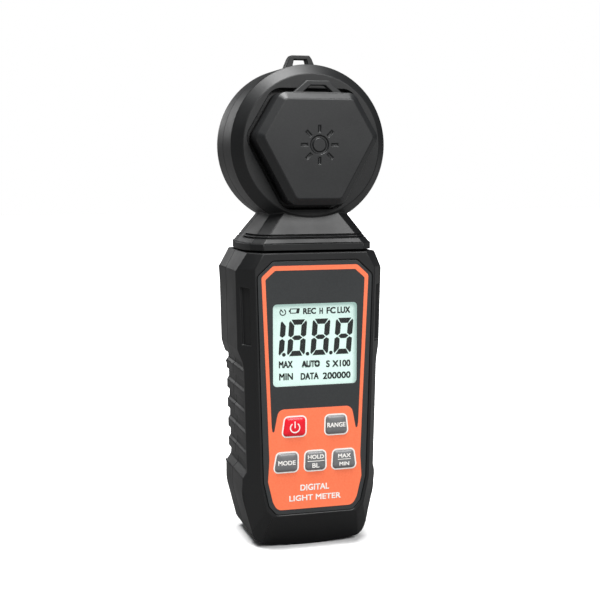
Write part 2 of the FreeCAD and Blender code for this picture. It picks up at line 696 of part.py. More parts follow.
# Front face of the cap, about the head's centre: wide at the top, and long below its widest level
CAP_FACE = [(13.1, 17.1), (21.5, 2.8), (8.85, -20.2), (-8.85, -20.2), (-21.5, 2.8), (-13.1, 17.1)]
CAP_BEVEL = 2.6
CAP_CORNER = 4.4
RECESS_GAP = 1.7

# Sun sign on the cap: radii of its ring, ends of a ray from the middle, stroke and number of rays
SIGN_RING = (2.6, 3.5)
SIGN_RAY = (4.7, 7.2)
SIGN_STROKE = 0.9
SIGN_RAYS = 8


def around_head(points):
    """Points about the head's centre, as points of the frame."""
    return [(x, z + size("head_centre")) for x, z in points]


def cap_outline(grow, corner):
    """Rounded hexagon of the cap's face, grown outwards."""
    return edges_of(rounded(around_head(grown(CAP_FACE, grow)), corner))


def neck_section(level, inset):
    """Neck outline at one level of its slope, pulled in by an inset."""
    low = size("flange_top")
    share = (level - low) / (size("neck_top") - low)
    centre = size("swivel_depth")
    steps = []
    for foot, head in zip(NECK_FOOT, NECK_HEAD):
        values = [start + (end - start) * share for start, end in zip(foot, head)]
        for index in range(0, len(values), 2):
            values[index] -= inset
            values[index + 1] += inset if values[index + 1] < centre - 1 else 0
        steps.append(tuple(values))
    return steps


def head_shell(label):
    """Round dish, sloping neck, flange, lanyard eye and the hollow inside, before it is split."""
    body = new_body(label)
    front, back = size("head_front"), size("head_back")
    rim, radius, bevel = size("head_rim_radius"), size("head_radius"), size("head_bevel")
    rear_bevel = size("head_rear_bevel")
    dish = [(front, 0), (front, rim), (front + bevel, radius), (back - rear_bevel, radius),
            (back, radius - rear_bevel), (back, 0)]
    turned("PartDesign::Revolution", body, "dish", dish, "head_centre")
    loft(body, "neck", "Z", "flange_top", mirrored(NECK_FOOT), "neck_top", mirrored(NECK_HEAD))
    pad(body, "neck_flange", "Z", "neck_base", "flange_top", [edges_of(mirrored(NECK_FLANGE))])
    eye = [(3.7, size("eye_top")), (4.6, size("eye_top") - 1.2), (5.9, 190.4), (6.4, 188.4)]
    opening = [(2.6, 193.0), (3.2, 190.4)]
    pad(body, "lanyard_eye", "Y", ("head_parting", -2.5), ("head_parting", 2.5),
        [edges_of(mirrored(eye)), edges_of(mirrored(opening))])
    wall = size("head_wall")
    room = [(-7.1, 0), (-7.1, radius - wall - 2.4), (-4.6, radius - wall), (back - wall, radius - wall),
            (back - wall, 0)]
    turned("PartDesign::Groove", body, "inside", room, "head_centre")
    axis_y = size("swivel_depth")
    pocket(body, "cable_way", "Z", ("neck_base", 5.1), 136.0, [circle(0, axis_y, 8.0)])
    pocket(body, "pivot_seat", "Z", ("neck_base", 2.95), ("neck_base", 5.1), [circle(0, axis_y, 7.05)])
    pocket(body, "pivot_hole", "Z", ("neck_base", -1.0), ("neck_base", 2.95), [circle(0, axis_y, 4.45)])
    return body


def front_shell():
    body = head_shell("head_front_shell")
    pocket(body, "split", "Y", "head_parting", 30.0, [edges_of(rectangle(45, 100, 210))])
    pocket(body, "cap_recess", "Y", "head_front", "recess_floor",
           [cap_outline(CAP_BEVEL + RECESS_GAP, CAP_CORNER + RECESS_GAP)])
    middle = around_head([(0, 0)])
    pad(body, "cap_collar", "Y", "recess_floor", ("recess_floor", -3.2), circles(middle, "collar_radius"))
    pocket(body, "aperture", "Y", ("head_front", -2.0), -7.0, circles(middle, "aperture_radius"))
    neck_grooves(body, -30.0, 0.5, front_groove_core)
    spots = around_head(HEAD_SCREWS)
    pad(body, "screw_bosses", "Y", -7.3, "head_parting", circles(spots, 2.8))
    pocket(body, "screw_pilots", "Y", "head_parting", -2.0, circles(spots, "pilot_radius"))
    pad(body, "sensor_bosses", "Y", -7.3, -1.8, circles(sensor_screw_spots(), 2.2))
    pocket(body, "sensor_pilots", "Y", -1.8, -6.4, circles(sensor_screw_spots(), "small_pilot_radius"))
    return body


def neck_grooves(body, outer_y, inner_y, core):
    """Two thin grooves round one half of the neck, up to a break before the parting line."""
    around = [(40, outer_y), (40, inner_y), (-40, inner_y), (-40, outer_y)]
    for index, level in enumerate(NECK_GROOVES, start=1):
        loops = [edges_of(around), edges_of(core(level))]
        pocket(body, f"neck_groove_{index}", "Z", level, level + NECK_GROOVE_WIDTH, loops)


def front_groove_core(level):
    """What a groove leaves of the neck's front half at one level."""
    front, corner = neck_section(level, GROOVE_INSET)[:2]
    side_x = corner[0] + 1.4
    return mirrored_sides([front, corner, (side_x, 0.2)])


def rear_groove_core(level):
    """What a groove leaves of the neck's rear half at one level."""
    corner, back = neck_section(level, GROOVE_INSET)[2:]
    side_x = corner[0] + 1.2
    return mirrored_sides([(back[0], back[1] - GROOVE_INSET), (corner[0], corner[1] - GROOVE_INSET),
                           (side_x, 8.9)])


def mirrored_sides(right):
    return right + [(-x, y) for x, y in reversed(right)]


def sensor_screw_spots():
    return around_head([(19.0 * math.cos(math.radians(angle)), 19.0 * math.sin(math.radians(angle)))
                        for angle in SENSOR_SCREW_ANGLES])


def rear_shell():
    body = head_shell("head_rear_shell")
    pocket(body, "split", "Y", "head_parting", -30.0, [edges_of(rectangle(45, 100, 210))])
    neck_grooves(body, 30.0, 8.6, rear_groove_core)
    spots = around_head(HEAD_SCREWS)
    pad(body, "screw_bosses", "Y", "head_parting", ("head_back", -2.0), circles(spots, "boss_radius"))
    pocket(body, "screw_wells", "Y", ("head_back", 1.0), "head_screw_seat", circles(spots, "well_radius"))
    pocket(body, "screw_holes", "Y", "head_screw_seat", "head_parting", circles(spots, "hole_radius"))
    return body


def head_screws():
    return group("head_screws", [screw(f"head_screw_{index}", "head_screw_seat", -1.0, at)
                                 for index, at in enumerate(around_head(HEAD_SCREWS), start=1)])


def crown_via(edge_y, edge_radius, apex_y):
    """Point half way up a spherical crown that is centred on the head's axis, as (y, radius)."""
    rise = edge_y - apex_y
    ball = (edge_radius ** 2 + rise ** 2) / (2 * rise)
    half_angle = math.asin(edge_radius / ball) / 2
    return (apex_y + ball * (1 - math.cos(half_angle)), ball * math.sin(half_angle))


def diffuser_dome():
    """Milky dome over the sensor: a flange behind the wall, a short barrel and a shallow crown."""
    body = new_body("diffuser_dome")
    outer = [(-5.6, 0), (-5.6, 15.4), (-7.1, 15.4), (-7.1, 13.9), (-9.8, 13.9),
             (-14.0, 0) + crown_via(-9.8, 13.9, -14.0)]
    turned("PartDesign::Revolution", body, "shell", outer, "head_centre")
    inner = [(-5.0, 0), (-5.0, 11.8), (-9.0, 11.8), (-12.8, 0) + crown_via(-9.0, 11.8, -12.8)]
    turned("PartDesign::Groove", body, "hollow", inner, "head_centre")
    return body


def sensor_parts():
    """Holder, colour filter, photodiode, sensor board and what is on it."""
    centre = (0, size("head_centre"))
    holder_body = rod("holder_body", "Y", 15.4, -5.6, -1.8, centre)
    holder_rooms = fused("holder_rooms", [rod("filter_room", "Y", 6.3, -5.7, -4.3, centre),
                                          rod("diode_room", "Y", 4.2, -4.4, -1.7, centre)])
    holder = cut("sensor_holder", holder_body, holder_rooms)
    colour_filter = rod("colour_filter", "Y", 6.2, -5.6, -4.3, centre)
    diode = rod("photodiode", "Y", 4.1, -4.3, -1.8, centre)
    board_blank = rod("sensor_board_blank", "Y", 21.4, -1.8, -0.2, centre)
    holes = fused("sensor_board_holes", [rod(f"sensor_hole_{index}", "Y", 1.05, -2.0, 0.0, at)
                                         for index, at in enumerate(sensor_screw_spots(), start=1)])
    board = cut("sensor_board", board_blank, holes)
    amplifier = block("amplifier_chip", (-3.0, 3.0), (-0.2, 1.3), (161.0, 166.0))
    connector = block("sensor_connector", (-4.0, 4.0), (-0.2, 5.4), (144.0, 150.0))
    screws = group("sensor_screws", [screw(f"sensor_screw_{index}", -0.2, -6.0, at, 0.9, 1.7)
                                     for index, at in enumerate(sensor_screw_spots(), start=1)])
    cable = rod("upper_sensor_cable", "Z", "cable_radius", 112.0, 144.0, (0, size("swivel_depth")))
    return [holder, colour_filter, diode, board, amplifier, connector, screws, cable]


def light_sign():
    """Loops of the plain sun sign on the cap: a ring and eight short rays round it."""
    centre = size("head_centre")
    inner, outer = SIGN_RING
    near, far = SIGN_RAY
    half = SIGN_STROKE / 2
    loops = [circle(0, centre, outer), circle(0, centre, inner)]
    for index in range(SIGN_RAYS):
        turn = math.tau * index / SIGN_RAYS
        along = V(math.sin(turn), math.cos(turn), 0)
        across = V(math.cos(turn), -math.sin(turn), 0) * half
        middle = V(0, centre, 0)
        corners = [middle + along * near - across, middle + along * far - across,
                   middle + along * far + across, middle + along * near + across]
        loops.append(edges_of([(corner.x, corner.y) for corner in corners]))
    return loops


def sensor_cap():
    """Hexagonal cap: straight walls, a bevelled face with a sun sign, a socket and a tether eye."""
    body = new_body("sensor_cap")
    shoulder = ("cap_front", CAP_BEVEL)
    pad(body, "walls", "Y", ("recess_floor", -0.15), shoulder, [cap_outline(CAP_BEVEL, CAP_CORNER)])
    pad(body, "face", "Y", shoulder, "cap_front", [cap_outline(CAP_BEVEL, CAP_CORNER)], -45)
    eye = [(4.35, 183.2), (5.1, 182.5), (9.9, 178.4), (10.2, 176.5)]
    opening = [(2.85, 181.4), (5.8, 178.9)]
    pad(body, "tether_eye", "Y", ("cap_front", 2.3), ("cap_front", 5.3),
        [edges_of(mirrored(eye)), edges_of(mirrored(opening))])
    pocket(body, "light_sign", "Y", "cap_front", ("cap_front", size("sign_depth")), light_sign())
    centre = size("head_centre")
    socket = size("collar_radius") + size("running_gap")
    pocket(body, "socket", "Y", ("recess_floor", 1.0), ("recess_floor", -6.0), [circle(0, centre, socket)])
    return body


# ---------------------------------------------------------------- build, check and write

def build_all():
    """Every sub-part of the meter."""
    parts = [front_case(), rear_case(), case_screws(), face_overlay()]
    parts += display_parts()
    parts.append(main_board())
    parts += board_parts()
    parts += [key(name) for name in KEYS]
    parts += [key_switch(name) for name in KEYS]
    parts.append(lower_cable())
    parts += battery_parts()
    parts += [battery_door(), door_screw()]
    pivot_parts, washer = swivel_parts()
    parts += pivot_parts + [washer]
    parts += [front_shell(), rear_shell(), head_screws(), diffuser_dome()]
    parts += sensor_parts()
    parts.append(sensor_cap())
    return parts


def check_and_write(parts):
    """Stop on any failed object or bad solid, then write one file per sub-part."""
    doc.recompute()
    for item in doc.Objects:
        if "Invalid" in item.State or "Error" in item.State:
            raise RuntimeError(f"{item.Label} failed: {item.State}")
    os.makedirs("parts", exist_ok=True)
    for item in parts:
        if item.Shape.isNull() or not item.Shape.isValid():
            raise RuntimeError(f"{item.Label} has a bad shape")
        item.Label = item.Name
        item.Shape.exportStep(f"parts/{item.Label}.step")
        box = item.Shape.BoundBox
        print(f"{item.Label}: {len(item.Shape.Solids)} solid(s), {item.Shape.Volume:.1f} mm3, "
              f"z {box.ZMin:.1f} to {box.ZMax:.1f}")
    whole = Part.Compound([item.Shape for item in parts]).BoundBox
    print(f"{len(parts)} sub-parts, {whole.XLength:.1f} x {whole.YLength:.1f} x {whole.ZLength:.1f} mm")


check_and_write(build_all())
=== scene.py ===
# %% [markdown]
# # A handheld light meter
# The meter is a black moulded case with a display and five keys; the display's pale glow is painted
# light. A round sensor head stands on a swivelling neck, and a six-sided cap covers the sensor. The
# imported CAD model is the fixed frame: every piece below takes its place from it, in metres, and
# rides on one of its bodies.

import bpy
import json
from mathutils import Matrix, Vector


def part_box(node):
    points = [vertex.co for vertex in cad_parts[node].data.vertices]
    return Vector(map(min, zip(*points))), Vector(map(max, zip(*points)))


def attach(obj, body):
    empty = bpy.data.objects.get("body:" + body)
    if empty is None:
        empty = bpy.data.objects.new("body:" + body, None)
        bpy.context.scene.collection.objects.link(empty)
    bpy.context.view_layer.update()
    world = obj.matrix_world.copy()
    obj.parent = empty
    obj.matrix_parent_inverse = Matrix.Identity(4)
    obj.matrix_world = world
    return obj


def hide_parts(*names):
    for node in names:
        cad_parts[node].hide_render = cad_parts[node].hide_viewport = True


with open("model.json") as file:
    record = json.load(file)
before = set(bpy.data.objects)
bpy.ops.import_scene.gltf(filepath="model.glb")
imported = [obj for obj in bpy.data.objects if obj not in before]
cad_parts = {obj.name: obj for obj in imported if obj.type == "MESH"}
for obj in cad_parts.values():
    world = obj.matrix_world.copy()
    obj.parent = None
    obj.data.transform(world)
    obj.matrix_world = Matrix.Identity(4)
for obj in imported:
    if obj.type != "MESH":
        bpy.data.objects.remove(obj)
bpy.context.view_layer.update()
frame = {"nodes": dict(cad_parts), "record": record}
print("nodes:", len(frame["nodes"]))

# %% Modules, and the millimetre
import json
import math

import bmesh
import bpy
from mathutils import Matrix, Vector

MM = 0.001
scene = bpy.context.scene


def front_and_back(node):
    """Levels of a CAD node's front and back along Y, in millimetres."""
    low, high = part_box(node)
    return low[1] / MM, high[1] / MM


# %% [markdown]
# ## Camera
# A long lens from a little left of the meter and above its middle keeps its uprights nearly
# parallel, as in a catalogue view. The lens is given for a 36 mm wide square sensor.

# %% Camera
CAMERA_PLACE = Vector((-0.1262, -0.4440, 0.1522))
CAMERA_AIM = Vector((0.2693, 0.9559, -0.1172))
FOCAL_LENGTH, SENSOR_WIDTH = 69.4, 36.0
NEAREST_SEEN = 0.01

camera_data = bpy.data.cameras.new("catalogue_camera")
camera_data.lens = FOCAL_LENGTH
camera_data.sensor_width = SENSOR_WIDTH
camera_data.clip_start = NEAREST_SEEN
camera = bpy.data.objects.new("catalogue_camera", camera_data)
camera.location = CAMERA_PLACE
camera.rotation_euler = CAMERA_AIM.to_track_quat("-Z", "Y").to_euler()
scene.collection.objects.link(camera)
scene.camera = camera
print("camera is", round(CAMERA_PLACE.length, 3), "m from the foot of the meter")

# %% [markdown]
# ## Studio
# Black plastic has hardly any colour of its own, so what it shows is the room. A broad skylight
# overhead draws the upper edges, a front fill lights the face, and a weak light at the left rear
# gives the side and the back a faint sheen. The surround and the paper are darker for the
# plastic than for the camera, as with black flags round a set: a Light Path node tells the rays
# that come straight from the camera apart from all others.

# %% Colours from sRGB, and a function that adds one shader node


def linear(hex_colour):
    """Linear RGBA of an sRGB hex colour."""
    parts = [int(hex_colour[i:i + 2], 16) / 255 for i in (1, 3, 5)]
    return tuple(p / 12.92 if p <= 0.04045 else ((p + 0.055) / 1.055) ** 2.4 for p in parts) + (1.0,)


def add_node(tree, kind, settings=None, links=None, **attributes):
    """One node of a tree: its attributes, the values on its inputs, and the sockets linked to them."""
    made = tree.nodes.new(kind)
    for key, value in attributes.items():
        setattr(made, key, value)
    for key, value in (settings or {}).items():
        made.inputs[key].default_value = value
    for key, socket in (links or {}).items():
        tree.links.new(socket, made.inputs[key])
    return made


print("mid grey is", round(linear("#808080")[0], 3), "in linear light")

# %% Surround
SURROUND_LIGHT = 0.085

scene.view_settings.view_transform = "Standard"
surround = bpy.data.worlds.new("studio_surround")
scene.world = surround
surround.use_nodes = True
tree = surround.node_tree
tree.nodes.clear()
seen = add_node(tree, "ShaderNodeBackground", {"Color": (1, 1, 1, 1), "Strength": 1.0})
lighting = add_node(tree, "ShaderNodeBackground",
                    {"Color": linear("#F4F6F8"), "Strength": SURROUND_LIGHT})
ray = add_node(tree, "ShaderNodeLightPath")
both = add_node(tree, "ShaderNodeMixShader", links={0: ray.outputs["Is Camera Ray"]})
tree.links.new(lighting.outputs[0], both.inputs[1])
tree.links.new(seen.outputs[0], both.inputs[2])
add_node(tree, "ShaderNodeOutputWorld", links={"Surface": both.outputs[0]})

# %% Floor
TOOTH_PER_METRE = 900.0
TOOTH_RELIEF = 0.0001
FLOOR_HALF = 3.0


def floor_material():
    """Seamless paper, matt, with a faint tooth: near white to the camera, grey to other rays."""
    made = bpy.data.materials.new("studio_paper")
    made.use_nodes = True
    nodes = made.node_tree
    nodes.nodes.clear()
    place = add_node(nodes, "ShaderNodeTexCoord")
    tooth = add_node(nodes, "ShaderNodeTexNoise", {"Scale": TOOTH_PER_METRE},
                     {"Vector": place.outputs["Object"]})
    bump = add_node(nodes, "ShaderNodeBump", {"Strength": 0.1, "Distance": TOOTH_RELIEF},
                    {"Height": tooth.outputs[0]})
    ray = add_node(nodes, "ShaderNodeLightPath")
    paper = add_node(nodes, "ShaderNodeValToRGB", links={"Fac": ray.outputs["Is Camera Ray"]})
    paper.color_ramp.elements[0].color = linear("#686868")
    paper.color_ramp.elements[1].color = linear("#FCFCFC")
    shader = add_node(nodes, "ShaderNodeBsdfPrincipled", {"Roughness": 0.9, "Specular IOR Level": 0.1},
                      {"Normal": bump.outputs[0], "Base Color": paper.outputs["Color"]})
    add_node(nodes, "ShaderNodeOutputMaterial", links={"Surface": shader.outputs[0]})
    return made


floor_mesh = bpy.data.meshes.new("studio_floor")
corners = [(-FLOOR_HALF, -FLOOR_HALF, 0), (FLOOR_HALF, -FLOOR_HALF, 0),
           (FLOOR_HALF, FLOOR_HALF, 0), (-FLOOR_HALF, FLOOR_HALF, 0)]
floor_mesh.from_pydata(corners, [], [(0, 1, 2, 3)])
floor_mesh.materials.append(floor_material())
floor = bpy.data.objects.new("studio_floor", floor_mesh)
scene.collection.objects.link(floor)
print("floor is", 2 * FLOOR_HALF, "m wide")

# %% Soft lights
SKY_STRENGTH = 6.5
SKY_SPREAD = math.radians(40)
SKY_DIRECTION = Vector((0.12, 0.10, -1.0))


def softbox(name, place, target, width, height, watts):
    """Rectangular area light that faces a point of the meter."""
    lamp = bpy.data.lights.new(name, "AREA")
    lamp.shape = "RECTANGLE"
    lamp.size = width
    lamp.size_y = height
    lamp.energy = watts
    holder = bpy.data.objects.new(name, lamp)
    holder.location = place
    holder.rotation_euler = (Vector(target) - Vector(place)).to_track_quat("-Z", "Y").to_euler()
    scene.collection.objects.link(holder)
    print(name, watts, "W,", round((Vector(target) - Vector(place)).length, 2), "m away")


skylight = bpy.data.lights.new("overhead_skylight", "SUN")
skylight.energy = SKY_STRENGTH
skylight.angle = SKY_SPREAD
skylight_holder = bpy.data.objects.new("overhead_skylight", skylight)
skylight_holder.rotation_euler = SKY_DIRECTION.to_track_quat("-Z", "Y").to_euler()
scene.collection.objects.link(skylight_holder)
softbox("front_fill", place=(0.22, -0.88, 0.66), target=(0, 0, 0.12), width=0.60, height=0.40, watts=9.5)
softbox("left_rear_light", place=(-0.30, 0.85, 0.40), target=(0, 0, 0.15), width=0.16, height=0.30,
        watts=0.6)

# %% [markdown]
# ## Finishes
# Each finish starts from the real material and how its surface was made. Moulded plastic is two
# close tones in a fine grain, with the grain's relief and a slow change of gloss where hands
# have been. A spark-eroded mould leaves a grain of about 0.1 mm, which is too fine to show here,
# so it is drawn about 0.5 mm coarse.

# %% One function for a surface made of two close tones
HANDLED_PATCH = 18.0
# Noise seldom leaves the middle of its range, so the tones and the change of gloss lie there
DARK_STOP, LIGHT_STOP = 0.35, 0.65
LEAST_HANDLED, MOST_HANDLED = 0.3, 0.7


def finish(name, light, dark, grain, roughness, relief=0.0, metallic=0.0, **sockets):
    """Material of two tones in a grain of the given size (mm), with relief (mm) from the grain."""
    made = bpy.data.materials.new(name)
    made.use_nodes = True
    nodes = made.node_tree
    nodes.nodes.clear()
    place = add_node(nodes, "ShaderNodeTexCoord")
    speckle = add_node(nodes, "ShaderNodeTexNoise", {"Scale": 1 / (grain * MM), "Detail": 2.0},
                       {"Vector": place.outputs["Object"]})
    tone = add_node(nodes, "ShaderNodeValToRGB", links={"Fac": speckle.outputs[0]})
    stops = ((DARK_STOP, dark), (LIGHT_STOP, light))
    for stop, (position, colour) in zip(tone.color_ramp.elements, stops):
        stop.position = position
        stop.color = linear(colour)
    handled = add_node(nodes, "ShaderNodeTexNoise", {"Scale": 1 / (HANDLED_PATCH * MM), "Detail": 3.0},
                       {"Vector": place.outputs["Object"]})
    gloss = add_node(nodes, "ShaderNodeMapRange",
                     {"From Min": LEAST_HANDLED, "From Max": MOST_HANDLED,
                      "To Min": roughness[0], "To Max": roughness[1]},
                     {"Value": handled.outputs[0]})
    shader = add_node(nodes, "ShaderNodeBsdfPrincipled", {"Metallic": metallic},
                      {"Base Color": tone.outputs["Color"], "Roughness": gloss.outputs[0]})
    for key, value in sockets.items():
        shader.inputs[key.replace("_", " ")].default_value = value
    if relief:
        bump = add_node(nodes, "ShaderNodeBump", {"Strength": 1.0, "Distance": relief * MM},
                        {"Height": speckle.outputs[0]})
        nodes.links.new(bump.outputs[0], shader.inputs["Normal"])
    add_node(nodes, "ShaderNodeOutputMaterial", links={"Surface": shader.outputs[0]})
    return made


# %% Plastics and inks of the outside
FINISHES = {
    # ABS moulded in a spark-eroded tool: deep grey-black, dull, with a fine sparkle
    "black_abs": finish("black_abs_spark_grain", "#111213", "#0C0D0E", 0.5, (0.40, 0.50), 0.012),
    # The cap's tool is finer, so its face is a little smoother and paler
    "cap_abs": finish("cap_abs_fine_grain", "#1D1E1F", "#18191A", 0.4, (0.38, 0.46), 0.008),
    # Polyester film printed on its back: an even dark grey under a satin coat
    "printed_film": finish("printed_polyester_film", "#323435", "#2E3031", 0.6, (0.34, 0.40), 0.003),
    "orange_ink": finish("orange_screen_ink", "#FF7E55", "#FA784F", 0.6, (0.42, 0.50), 0.003),
    "white_ink": finish("white_screen_ink", "#F6F4F0", "#EFECE6", 0.6, (0.45, 0.55), 0.003),
    # Silicone-backed keys with a hard satin top
    "red_key": finish("red_key_lacquer", "#EC1C30", "#E3162A", 0.5, (0.26, 0.34), 0.004),
    "grey_key": finish("grey_key_lacquer", "#737475", "#6C6D6E", 0.5, (0.28, 0.36), 0.004),
    # Acrylic dome, frosted inside, that spreads light over the sensor
    "opal_dome": finish("opal_acrylic_moulded", "#F2F0EA", "#ECEAE3", 1.0, (0.22, 0.30), 0.0,
                        Subsurface_Weight=0.25, Subsurface_Scale=0.002),
}
print(len(FINISHES), "outer finishes")

# %% Metals, boards and other inner materials
FINISHES.update({
    "circuit_board": finish("fr4_green_solder_mask", "#1E5C36", "#174A2B", 0.8, (0.30, 0.40), 0.004),
    "chip_epoxy": finish("chip_epoxy_moulded", "#1C1C1E", "#161618", 0.3, (0.50, 0.62), 0.004),
    "bright_can": finish("crystal_can_drawn", "#C9CBCC", "#B9BBBD", 0.8, (0.18, 0.26), 0.0, 1.0),
    "capacitor_sleeve": finish("capacitor_shrink_sleeve", "#20242E", "#191C25", 0.6, (0.30, 0.40)),
    "connector_nylon": finish("connector_nylon_moulded", "#E9E4D6", "#DDD8C8", 0.5, (0.45, 0.55), 0.004),
    "cable_jacket": finish("cable_pvc_jacket", "#2A2A2C", "#222224", 0.6, (0.40, 0.50), 0.003),
    "screw_steel": finish("screw_steel_zinc_plated", "#B4B7BA", "#A2A5A8", 0.4, (0.26, 0.38), 0.003,
                          1.0),
    "cell_sleeve": finish("cell_sleeve_printed", "#3D4A57", "#35414D", 0.9, (0.25, 0.35)),
    "plated_spring": finish("nickel_plated_wire", "#C6C3BC", "#B5B2AA", 0.5, (0.20, 0.30), 0.002, 1.0),
    "washer_nylon": finish("nylon_washer_punched", "#E2DFD6", "#D6D3C8", 0.5, (0.48, 0.58), 0.003),
    "pivot_acetal": finish("pivot_acetal_turned", "#24252A", "#1C1D22", 0.6, (0.30, 0.40), 0.003),
    "spring_steel": finish("spring_steel_stamped", "#8E9093", "#7D7F82", 0.4, (0.30, 0.42), 0.002, 1.0),
    "filter_glass": finish("filter_glass_green", "#9FC2AE", "#93B8A3", 1.2, (0.06, 0.10)),
    "switch_body": finish("switch_steel_cover", "#9A9C9E", "#8C8E90", 0.4, (0.30, 0.40), 0.003, 1.0),
    "frame_plastic": finish("display_frame_abs", "#2A2B2C", "#222324", 0.5, (0.45, 0.55), 0.006),
    "zebra_rubber": finish("zebra_contact_rubber", "#5A5148", "#2B2723", 0.3, (0.55, 0.65), 0.005),
    "light_guide": finish("light_guide_acrylic", "#EAF6F2", "#E0F0EA", 1.2, (0.12, 0.18), 0.0,
                          Transmission_Weight=0.5),
})
print(len(FINISHES), "finishes in all")

# %% Display glass and clear window
# The display's pale mint glow is painted light: an emission that stands in for the studio light on the
# glass
PAINTED_DISPLAY_GLOW = 0.46
WINDOW_ALPHA = 0.02


def painted_glow_glass():
    """Reflective display glass whose pale mint glow is painted light, an emission that stands in for the
    studio light on the display.
    """
    made = finish("display_glass_painted_glow", "#BDC8C4", "#B9C4C0", 3.0, (0.12, 0.16))
    shader = made.node_tree.nodes["Principled BSDF"]
    shader.inputs["Emission Color"].default_value = linear("#D4FFF4")
    shader.inputs["Emission Strength"].default_value = PAINTED_DISPLAY_GLOW
    return made


def clear_window():
    """Hard-coated acrylic window: almost nothing but its reflections."""
    made = finish("window_acrylic_hard_coat", "#F4FBFA", "#EEF8F6", 4.0, (0.04, 0.07))
    shader = made.node_tree.nodes["Principled BSDF"]
    shader.inputs["Alpha"].default_value = WINDOW_ALPHA
    return made


FINISHES["display_glass"] = painted_glow_glass()
FINISHES["clear_window"] = clear_window()
# A segment is dark because the crystal lets no light through, so it has no shine of its own
segment_ink = finish("display_segment_black", "#070A0A", "#040606", 0.6, (0.50, 0.60))
segment_ink.node_tree.nodes["Principled BSDF"].inputs["Specular IOR Level"].default_value = 0.0

# %% Give every CAD node its material slot's finish
SLOT_OF = {part["node"]: part["material_slot"] for part in frame["record"]["subparts"]}
for node_name, cad_object in frame["nodes"].items():
    cad_object.data.materials.clear()
    cad_object.data.materials.append(FINISHES[SLOT_OF[node_name]])
print("nodes with a finish:", len(SLOT_OF))

# %% [markdown]
# ## Moulded shells
# Nothing that comes out of a mould has a knife edge: each corner has a radius of two or three
# tenths of a millimetre, and that is what catches the light on black plastic. The CAD shapes
# are right apart from those radii. Each outer shell is therefore a merged copy of its CAD node
# with a Bevel modifier on the edges that are sharp. Slivers in its flat faces are dissolved
# first, and what then has more than four corners is cut into clean triangles, because a bevel
# spoils faces of many corners. A Weighted Normal modifier keeps the large flats flat.

# %% A merged copy with moulded edges


def add_piece(name, mesh, material, body, stands_for=()):
    """Object at the origin that rides on a body, with one material."""
    mesh.name = name
    mesh.materials.clear()
    mesh.materials.append(material)
    piece = bpy.data.objects.new(name, mesh)
    scene.collection.objects.link(piece)
    if stands_for:
        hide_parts(*stands_for)
    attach(piece, body)
    print(name, "on", body + ":", len(mesh.polygons), "faces")
    return piece


MERGED = 0.002
FLAT, CREASE, SHARP = (math.radians(angle) for angle in (0.3, 14.0, 24.0))


def moulded(node, name, body, radius):
    """Copy of a CAD node whose sharp edges have a small radius (mm)."""
    shape = bmesh.new()
    shape.from_mesh(frame["nodes"][node].data)
    bmesh.ops.remove_doubles(shape, verts=shape.verts, dist=MERGED * MM)
    bmesh.ops.dissolve_limit(shape, angle_limit=FLAT, verts=shape.verts, edges=shape.edges)
    bmesh.ops.triangulate(shape, faces=[face for face in shape.faces if len(face.verts) > 4])
    for face in shape.faces:
        face.smooth = True
    for edge in shape.edges:
        edge.smooth = not edge.is_manifold or edge.calc_face_angle() < CREASE
    mesh = bpy.data.meshes.new(name)
    shape.to_mesh(mesh)
    shape.free()
    piece = add_piece(name, mesh, FINISHES[SLOT_OF[node]], body, [node])
    bevel = piece.modifiers.new("moulded_edge", "BEVEL")
    bevel.width = radius * MM
    bevel.segments = 2
    bevel.limit_method = "ANGLE"
    bevel.angle_limit = SHARP
    bevel.use_clamp_overlap = False
    bevel.loop_slide = False
    weighted = piece.modifiers.new("flat_faces_stay_flat", "WEIGHTED_NORMAL")
    weighted.keep_sharp = True
    weighted.weight = 100


# %% Case, door, head and cap, each with the radius of its edges
moulded("front_case", "case_front_moulding", "case", 0.28)
moulded("rear_case", "case_rear_moulding", "case", 0.25)
moulded("battery_door", "battery_door_moulding", "door", 0.2)
moulded("head_front_shell", "head_front_moulding", "head", 0.28)
moulded("head_rear_shell", "head_rear_moulding", "head", 0.28)
moulded("sensor_cap", "sensor_cap_moulding", "cap", 0.3)
moulded("diffuser_dome", "diffuser_dome_moulding", "head", 0.12)
moulded("face_overlay", "face_film", "case", 0.08)

# %% [markdown]
# ## Printed face
# The face is one polyester film. Orange ink makes a frame that widens into the key panel, and
# the lettering and the key outlines are white. Ink has a thickness: each colour is a thin layer
# on the film. A flat curve is filled between its closed outlines, so holes need no modelling.

# %% Outlines with rounded corners


def offset(corners, distance):
    """Polygon whose sides all stand outside (clockwise corners) the given one by a distance."""
    moved = []
    for index, corner in enumerate(corners):
        here = Vector(corner)
        before = (here - Vector(corners[index - 1])).normalized()
        after = (Vector(corners[(index + 1) % len(corners)]) - here).normalized()
        side_before = Vector((-before.y, before.x))
        side_after = Vector((-after.y, after.x))
        middle = (side_before + side_after).normalized()
        moved.append(tuple(here + middle * (distance / middle.dot(side_after))))
    return moved


def rounded(corners, radii, steps=6):
    """Points along a polygon whose corners are rounded; radii is one number or one per corner."""
    if not isinstance(radii, (list, tuple)):
        radii = [radii] * len(corners)
    points = []
    for index, (corner, radius) in enumerate(zip(corners, radii)):
        here = Vector(corner)
        before = (Vector(corners[index - 1]) - here).normalized()
        after = (Vector(corners[(index + 1) % len(corners)]) - here).normalized()
        half = before.angle(after) / 2
        reach = radius / math.tan(half)
        centre = here + (before + after).normalized() * (radius / math.sin(half))
        start = here + before * reach - centre
        turn = start.angle_signed(here + after * reach - centre)
        for step in range(steps + 1):
            spun = start.copy()
            spun.rotate(Matrix.Rotation(-turn * step / steps, 2))
            points.append(tuple(centre + spun))
    return points


def mirrored(right_half):
    """Closed outline, clockwise, from its right half listed from top to bottom."""
    return right_half + [(-x, z) for x, z in reversed(right_half)]


def circle(centre, radius, count):
    """Closed outline of a circle, clockwise."""
    return [(centre[0] + radius * math.cos(math.tau * i / count),
             centre[1] - radius * math.sin(math.tau * i / count)) for i in range(count)]


# %% Flat layers and printed words


